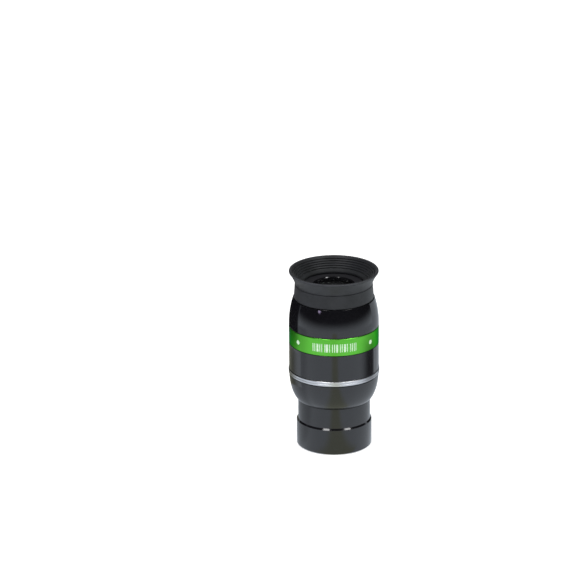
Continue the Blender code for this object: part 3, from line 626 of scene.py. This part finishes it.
# Thin patches joined into one mesh: each is a grid of points, given its thickness by Solidify
def makePatches(name, grids, thickness, material):
    points, quads, first = [], [], 0
    for grid in grids:
        rows, columns = grid.shape[:2]
        i, j = [a.ravel() for a in np.meshgrid(np.arange(rows - 1), np.arange(columns - 1),
                                               indexing="ij")]
        corner = i * columns + j
        quads.append(np.stack([corner, corner + 1, corner + columns + 1, corner + columns], axis=1)
                     + first)
        points.append(grid.reshape(-1, 3))
        first += rows * columns
    mesh = bpy.data.meshes.new(name)
    mesh.from_pydata((np.concatenate(points) * mm).tolist(), [], np.concatenate(quads).tolist())
    work = bmesh.new()
    work.from_mesh(mesh)
    bmesh.ops.remove_doubles(work, verts=work.verts, dist=1e-7)
    work.to_mesh(mesh)
    work.free()
    mesh.materials.append(material)
    mesh.shade_smooth()
    piece = bpy.data.objects.new(name, mesh)
    bpy.context.scene.collection.objects.link(piece)
    wall = piece.modifiers.new("paint film", "SOLIDIFY")
    wall.thickness = thickness * mm
    wall.offset = -1.0
    return piece


def makeMarks(s):
    rows = np.linspace(-0.5, 0.5, 5)[:, None] * s["height"] + s["middle"]
    grids = []
    for middle, width in s["bars"]:
        angle = np.radians(middle + np.linspace(-0.5, 0.5, 5) * width)[None, :]
        grids.append(onBand(s, *np.broadcast_arrays(angle, rows)))
    out = np.linspace(0, s["dotRadius"], 7)[:, None]
    turn = np.linspace(0, math.tau, 49)[None, :]
    for side in (-1, 1):
        angle = math.radians(side * s["dotAngle"]) + out * np.sin(turn) / s["radius"]
        grids.append(onBand(s, angle, s["dotHeight"] - out * np.cos(turn)))
    return makePatches("bandMarks", grids, s["thickness"], enamelPaint)


finishPiece(makeMarks(markLook), "housing", "green_anodised")
print("band and trim made")

# Eye end: plate with spanner holes, lenses

plateLow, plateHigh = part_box("eye_plate")
plateLook = {"radius": plateHigh.x / mm, "bottom": plateLow.z / mm, "top": plateHigh.z / mm,
             "opening": 8.3, "land": 12.5, "step": 0.3, "edge": 0.34, "flare": 0.33, "hole": 0.7,
             "holeOffset": 10.55, "holeDepth": 1.0}


def makePlate(s):
    corners = [(s["land"], s["top"]), (s["land"], s["top"] - s["step"]),
               (s["radius"], s["top"] - s["step"]), (s["radius"], s["bottom"]),
               (s["opening"], s["bottom"]),
               (s["opening"] + s["flare"], s["top"] - s["edge"]),
               (s["opening"] + s["flare"] + s["edge"], s["top"])]
    radii = [0.06, 0.04, 0.06, 0.06, 0.06, 0.08, 0.05]
    plate = lathe("eyePlate", roundedProfile(corners, radii, [0] * 4 + [1, 1, 0]),
                  [matteBlack, glossBlack])
    for side in (-1, 1):
        drill = bmesh.new()
        bmesh.ops.create_cone(drill, cap_ends=True, segments=32, radius1=s["hole"] * mm,
                              radius2=s["hole"] * mm, depth=2 * s["holeDepth"] * mm,
                              matrix=Matrix.Translation((side * s["holeOffset"] * mm, 0,
                                                         s["top"] * mm)))
        bit = bpy.data.objects.new("drill", bpy.data.meshes.new("drill"))
        drill.to_mesh(bit.data)
        drill.free()
        bpy.context.scene.collection.objects.link(bit)
        cut = plate.modifiers.new("spanner hole", "BOOLEAN")
        cut.object = bit
        bpy.context.view_layer.update()
        done = bpy.data.meshes.new_from_object(
            plate.evaluated_get(bpy.context.evaluated_depsgraph_get()))
        plate.modifiers.clear()
        plate.data = done
        bpy.data.objects.remove(bit)
    plate.data.set_sharp_from_angle(angle=math.radians(40))
    return plate


finishPiece(makePlate(plateLook), "housing", "matte_black", "eye_plate")


# Height of a spherical face above its edge: bulge minus the sphere's fall at that distance
def sphereFace(edgeHeight, bulge, radius):
    size = (radius * radius + bulge * bulge) / (2 * max(abs(bulge), 1e-6))
    side = math.copysign(1.0, bulge)
    return lambda x, y: (edgeHeight + bulge
                         - side * (size - np.sqrt(np.maximum(size * size - x * x - y * y, 0))))


# Lenses: each is (node, edge bottom above the node's lowest point, edge thickness, bulge on top,
# bulge underneath, glass), with a bulge below zero where the face is hollow
lensLook = [
    ("eye_lens", 0.3, 0.9, 1.2, 0.3, crownGlass),
    ("collimator_crown", 0.5, 1.4, 1.0, 0.5, crownGlass),
    ("collimator_flint", 0.0, 2.0, -0.3, -1.0, flintGlass),
]
for node, seat, edgeThickness, topBulge, underBulge, glass in lensLook:
    low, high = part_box(node)
    size = high.x / mm
    base = low.z / mm + seat
    lens = discSolid(node + "Polished", size, sphereFace(base + edgeThickness, topBulge, size),
                     sphereFace(base, -underBulge, size), glass)
    finishPiece(lens, "housing", "flint_glass" if glass is flintGlass else "crown_glass", node)

# Cylinder lens: flat underneath, its top falls away along X only
cylinderLow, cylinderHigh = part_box("cylinder_lens")
cylinderSize = cylinderHigh.x / mm
cylinderFace = sphereFace(cylinderHigh.z / mm - 0.3, 0.3, cylinderSize)
finishPiece(discSolid("cylinderLensPolished", cylinderSize, lambda x, y: cylinderFace(x, 0 * y),
                      lambda x, y: cylinderLow.z / mm + 0 * x, crownGlass),
            "housing", "crown_glass", "cylinder_lens")
print("eye end made")

# Rubber eyecup, one moulding: sleeve, fold line, flare, rolled rim and ridged cone

cupLow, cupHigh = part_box("eyecup_sleeve")
skirtLow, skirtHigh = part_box("eyecup_skirt")
cupLook = {"bottom": cupLow.z / mm, "fold": skirtLow.z / mm - 0.08, "top": skirtHigh.z / mm,
           "bottomRadius": cupHigh.x / mm + 0.1, "sleeveTopRadius": 16.48, "grip": 15.2,
           "rimRadius": skirtHigh.x / mm + 0.24, "waistRadius": 16.5, "foldDepth": 0.34,
           "beadHeight": 0.62, "beadGroove": 0.3, "floorRadius": 12.9, "floorTop": 0.1,
           "lipUnder": 71.45, "coneFoot": (14.3, 72.55), "coneTop": (17.9, 76.5),
           "grooves": 5, "grooveDepth": 0.5, "ledge": (13.02, 72.3), "mouthRadius": 18.12,
           "flarePower": 1.45}


def makeEyecup(s):
    # Flare: radius = waist + (rim - waist) * share ** power, share going up from the fold
    share = np.linspace(1, 0, 26)
    beadFoot = s["top"] - s["beadHeight"]
    waist, rim = s["waistRadius"], s["rimRadius"] - s["beadGroove"]
    flareTop = beadFoot - 0.25
    flare = np.stack([waist + (rim - waist) * share ** s["flarePower"],
                      s["fold"] + 0.5 + (flareTop - s["fold"] - 0.5) * share], axis=1)
    # Cone: a straight line cut by grooves; the land between two grooves stands in from the
    # line by depth * smoothstep(|cos|), which leaves narrow grooves with soft shoulders
    along = np.linspace(0, 1, 24 * s["grooves"] + 1)
    foot, tip = np.array(s["coneFoot"]), np.array(s["coneTop"])
    inward = np.array([-(tip - foot)[1], (tip - foot)[0]]) / np.linalg.norm(tip - foot)
    wave = np.clip((np.abs(np.cos(math.pi * s["grooves"] * along)) - 0.3) / 0.4, 0, 1)
    raised = s["grooveDepth"] * wave * wave * (3 - 2 * wave)
    cone = foot + (tip - foot) * along[:, None] + inward * raised[:, None]
    corners = [(s["rimRadius"], s["top"]), (s["rimRadius"] - 0.06, beadFoot),
               (rim - 0.02, beadFoot - 0.08),
               *flare.tolist(),
               (waist, s["fold"] + 0.14), (waist - s["foldDepth"] - 0.1, s["fold"]),
               (s["sleeveTopRadius"], s["fold"] - 0.16), (s["bottomRadius"], s["bottom"] + 0.1),
               (s["bottomRadius"] - 0.1, s["bottom"]), (s["grip"], s["bottom"]),
               (s["grip"], s["lipUnder"]), (s["floorRadius"] + 0.1, s["lipUnder"]),
               (s["floorRadius"], s["fold"] + s["floorTop"]),
               s["ledge"], *cone.tolist(), (s["mouthRadius"], s["top"])]
    radii = ([0.36, 0.16, 0.12] + [0.0] * 26
             + [0.1, 0.04, 0.12, 0.1, 0.06, 0.1, 0.05, 0.08, 0.1, 0.25] + [0.0] * len(cone)
             + [0.3])
    points, bent, slots = roundedProfile(corners, radii, [0] * len(corners))
    bent = bent * (points[:, 1] > beadFoot)  # painted rim highlight on the bead only, not on the fold
    return lathe("eyecup", (points, bent, slots), [nitrileRubber])


eyecup = makeEyecup(cupLook)
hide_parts("eyecup_sleeve", "eyecup_skirt")
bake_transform(eyecup)
print("eyecup made")

# Inner pieces that keep their own shape and take a finish

carried = {
    "slit_disc": matteBlack, "slit_retainer": matteBlack,
    "slit_jaw_left": blackenedSteel, "slit_jaw_right": blackenedSteel,
    "slit_screw_left": screwSteel, "slit_screw_right": screwSteel,
    "collimator_cell": matteBlack, "collimator_retainer": matteBlack, "prism_cage": matteBlack,
    "prism_crown_lower": crownGlass, "prism_flint": flintGlass, "prism_crown_upper": crownGlass,
    "prism_pressure_plate": springBrass, "prism_screw_lower": screwSteel,
    "prism_screw_upper": screwSteel, "prism_clamp_ring": matteBlack, "eye_lens_cell": matteBlack,
    "lens_spacer": matteBlack,
}
for node, material in carried.items():
    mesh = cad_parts[node].data
    mesh.materials.clear()
    mesh.materials.append(material)
print("inner pieces finished")

# Studio: paper floor, dark cards that only reflections see, soft lamps and the camera

studioLook = {"floorSize": 6.0, "floorColour": "#f2f2f0", "floorLift": 0.6, "worldFill": 0.5,
              "worldMirrored": 0.03, "floorMirrored": (1.18, 1.28, 1.4), "floorDrop": 0.0002,
              "behindFade": (0.8, -0.5, 0.55, 1.0), "leftFade": (-0.92, -0.76, 0.74, 1.0),
              "leftLean": -0.35, "lampDistance": 0.9, "aimHeight": 0.04}


# Unlit card, dark in the middle and as pale as the mirrored floor round its edges: darkness is
# a smooth rise in from the bottom, top, left and right edges, multiplied together.
# Fades are shares of the card in the order left, right, bottom, top; zero keeps that edge dark.
def makeCardMaterial(name, dark, fades):
    material = bpy.data.materials.new(name)
    material.use_nodes = True
    tree = material.node_tree
    tree.nodes.remove(tree.nodes["Principled BSDF"])
    spot = addNode(tree, "ShaderNodeSeparateXYZ",
                   links={0: addNode(tree, "ShaderNodeTexCoord").outputs["UV"]})
    share = addNode(tree, "ShaderNodeMath", {"operation": "ADD", 0: 1.0, 1: 0.0}).outputs[0]
    for axis, fade, start, end in (("X", fades[0], 0, 1), ("X", fades[1], 1, 0),
                                   ("Y", fades[2], 0, 1), ("Y", fades[3], 1, 0)):
        if fade <= 0:
            continue
        step = addNode(tree, "ShaderNodeMapRange", {"interpolation_type": "SMOOTHSTEP",
                       1: float(start), 2: start + (fade if end > start else -fade)},
                       {0: spot.outputs[axis]})
        share = addNode(tree, "ShaderNodeMath", {"operation": "MULTIPLY"},
                        {0: share, 1: step.outputs[0]}).outputs[0]
    colour = addNode(tree, "ShaderNodeMix", {"data_type": "RGBA",
                     6: (*studioLook["floorMirrored"], 1.0), 7: dark}, {0: share})
    glow = addNode(tree, "ShaderNodeEmission", {"Strength": 1.0}, {"Color": colour.outputs[2]})
    tree.links.new(glow.outputs[0], tree.nodes["Material Output"].inputs["Surface"])
    return material


def onlyMirrored(card):
    for ray in ("camera", "diffuse", "shadow", "transmission", "volume_scatter"):
        setattr(card, "visible_" + ray, False)


# Upright card bent round the object: x = R sin a, y = -R cos a, a from the camera's side
def makeCard(name, radius, angles, heights, material):
    angle = np.radians(np.linspace(*angles, 33))[None]
    height = np.linspace(*heights, 33)[:, None]
    grid = np.stack(np.broadcast_arrays(radius * np.sin(angle), -radius * np.cos(angle),
                                        height), axis=2) * mm
    card = gridMesh(name, grid, np.linspace(0, 1, 33), np.zeros(33), np.zeros(33), [material],
                    loopRows=False, loopColumns=False)
    onlyMirrored(card)


# Narrow mat lying in front of the object: a flat grid from near to far, olive in the middle
def makeMat(s):
    away = np.linspace(s["near"], s["far"], 9)[:, None]
    width = s["width"] + s["widening"] * (away - s["near"])
    across = np.linspace(-0.5, 0.5, 17)[None] * width + s["middle"]
    grid = np.stack(np.broadcast_arrays(across, -away, 0 * away + 0.05), axis=2) * mm
    mat = gridMesh("mat", grid, np.linspace(0, 1, 9), np.zeros(9), np.zeros(9),
                   [makeCardMaterial("oliveMat", s["colour"], (0.35, 0.35, 0, 0))],
                   loopRows=False, loopColumns=False)
    onlyMirrored(mat)


# Floor of pale paper: mirrored rays get a brightness that falls off behind the object and at its
# left, by the Y share and by X - 0.35 Y of the direction outward; all others see the lit paper
# with a small glow that takes it to white away from the object's shadow
def makeFloor(s):
    material = bpy.data.materials.new("palePaper")
    material.use_nodes = True
    tree = material.node_tree
    shader = tree.nodes["Principled BSDF"]
    shader.inputs["Base Color"].default_value = linearColour(s["floorColour"])
    shader.inputs["Roughness"].default_value = 0.9
    shader.inputs["Specular IOR Level"].default_value = 0.0
    shader.inputs["Emission Color"].default_value = (1, 1, 1, 1)
    shader.inputs["Emission Strength"].default_value = s["floorLift"]
    rays = addNode(tree, "ShaderNodeLightPath")
    spot = addNode(tree, "ShaderNodeTexCoord").outputs["Object"]
    outward = addNode(tree, "ShaderNodeVectorMath", {"operation": "NORMALIZE"}, {0: spot})
    facing = addNode(tree, "ShaderNodeSeparateXYZ", links={0: outward.outputs["Vector"]})
    falloff = addNode(tree, "ShaderNodeMapRange", dict(zip((1, 2, 3, 4), s["behindFade"])),
                      {0: facing.outputs["Y"]})
    side = addNode(tree, "ShaderNodeMath", {"operation": "MULTIPLY_ADD", 1: s["leftLean"]},
                   {0: facing.outputs["Y"], 2: facing.outputs["X"]})
    leftward = addNode(tree, "ShaderNodeMapRange", dict(zip((1, 2, 3, 4), s["leftFade"])),
                       {0: side.outputs[0]})
    strength = addNode(tree, "ShaderNodeMath", {"operation": "MULTIPLY"},
                       {0: falloff.outputs[0], 1: leftward.outputs[0]})
    glow = addNode(tree, "ShaderNodeEmission", {"Color": (*s["floorMirrored"], 1.0)},
                   {"Strength": strength.outputs[0]})
    both = addNode(tree, "ShaderNodeMixShader", links={
        0: rays.outputs["Is Glossy Ray"], 1: shader.outputs[0], 2: glow.outputs[0]})
    tree.links.new(both.outputs[0], tree.nodes["Material Output"].inputs["Surface"])
    half = s["floorSize"] / 2
    mesh = bpy.data.meshes.new("floor")
    mesh.from_pydata([(-half, -half, 0), (half, -half, 0), (half, half, 0), (-half, half, 0)],
                     [], [(0, 1, 2, 3)])
    mesh.materials.append(material)
    floor = bpy.data.objects.new("floor", mesh)
    bpy.context.scene.collection.objects.link(floor)
    floor.location.z = -s["floorDrop"]


# Room: white behind the object, dim in mirrored rays, an even fill for soft light
def makeWorld(s):
    world = bpy.data.worlds.new("paleRoom")
    bpy.context.scene.world = world
    world.use_nodes = True
    tree = world.node_tree
    rays = addNode(tree, "ShaderNodeLightPath")
    bent = addNode(tree, "ShaderNodeMath", {"operation": "MAXIMUM"},
                   {0: rays.outputs["Is Glossy Ray"], 1: rays.outputs["Is Transmission Ray"]})
    mirrored = addNode(tree, "ShaderNodeMapRange", {3: s["worldFill"], 4: s["worldMirrored"]},
                       {0: bent.outputs[0]})
    strength = addNode(tree, "ShaderNodeMix", {"data_type": "FLOAT", 3: 1.0},
                       {0: rays.outputs["Is Camera Ray"], 2: mirrored.outputs[0]})
    background = tree.nodes["Background"]
    background.inputs["Color"].default_value = (1, 1, 1, 1)
    tree.links.new(strength.outputs[0], background.inputs["Strength"])


# Soft box: set by its compass angle from the camera's side and its elevation, sizes in metres
def makeLamp(name, angle, elevation, width, depth, power, colour="#ffffff"):
    lamp = bpy.data.lights.new(name, "AREA")
    lamp.shape = "RECTANGLE"
    lamp.size = width
    lamp.size_y = depth
    lamp.energy = power
    lamp.color = linearColour(colour)[:3]
    holder = bpy.data.objects.new(name, lamp)
    bpy.context.scene.collection.objects.link(holder)
    a, e = math.radians(angle), math.radians(elevation)
    place = Vector((math.sin(a) * math.cos(e), -math.cos(a) * math.cos(e), math.sin(e)))
    place *= studioLook["lampDistance"]
    target = Vector((0, 0, studioLook["aimHeight"]))
    holder.location = place + target
    holder.rotation_euler = (-place).to_track_quat("-Z", "Y").to_euler()
    return holder


def makeCamera():
    shot = {"place": (-21.55, -1785.2, 721.3), "pitch": 19.98, "lens": 287.9, "roll": -0.4,
            "sensor": 36.0, "farthest": 20.0}
    camera = bpy.data.cameras.new("camera")
    camera.sensor_width = shot["sensor"]
    camera.lens = shot["lens"]
    camera.clip_end = shot["farthest"]
    holder = bpy.data.objects.new("camera", camera)
    bpy.context.scene.collection.objects.link(holder)
    turn = Matrix.Rotation(math.radians(90 - shot["pitch"]), 4, "X")
    turn = turn @ Matrix.Rotation(math.radians(shot["roll"]), 4, "Z")
    holder.matrix_world = Matrix.Translation(Vector(shot["place"]) * mm) @ turn
    bpy.context.scene.camera = holder


makeFloor(studioLook)
makeWorld(studioLook)
nearBlack = (0.006, 0.006, 0.0065, 1.0)

# Cards: distance from the axis in mm, angles from the camera's side, heights, colour and fades
cardLook = {
    "roomCard": (230, (-100, 110), (0, 140), nearBlack, (0, 0, 0.43, 0)),
    "caseCard": (72, (-162, -92), (22, 110), nearBlack, (0, 0.08, 0.08, 0)),
    "strapCard": (62, (56, 112), (8, 36), (0.1, 0.1, 0.11, 1.0), (0.55, 0.22, 0.2, 0.3)),
    "clipCard": (66, (-165, -84), (0, 26), (0.26, 0.27, 0.22, 1.0), (0, 0.45, 0, 0.1)),
    "windowCard": (225, (-42, -36), (100, 107), (11.0, 9.0, 14.0, 1.0), (0, 0, 0, 0)),
}
for name, (distance, angles, heights, colour, fades) in cardLook.items():
    makeCard(name, distance, angles, heights, makeCardMaterial(name, colour, fades))
makeMat({"width": 32.0, "widening": 0.1, "middle": 2.0, "near": 15.0, "far": 222.0,
         "colour": (0.97, 1.02, 0.78, 1.0)})
makeLamp("softboxLeft", -34, 58, 0.22, 0.30, 2.3)
makeLamp("softboxRight", 54, 56, 0.22, 0.30, 2.3)
fill = makeLamp("roomLamp", -43, 14, 0.2, 0.2, 1.2, "#d9c2ff")
fill.visible_glossy = False  # lights the left side without a highlight of its own
makeCamera()
bpy.context.scene.view_settings.view_transform = "Standard"
print("studio made")
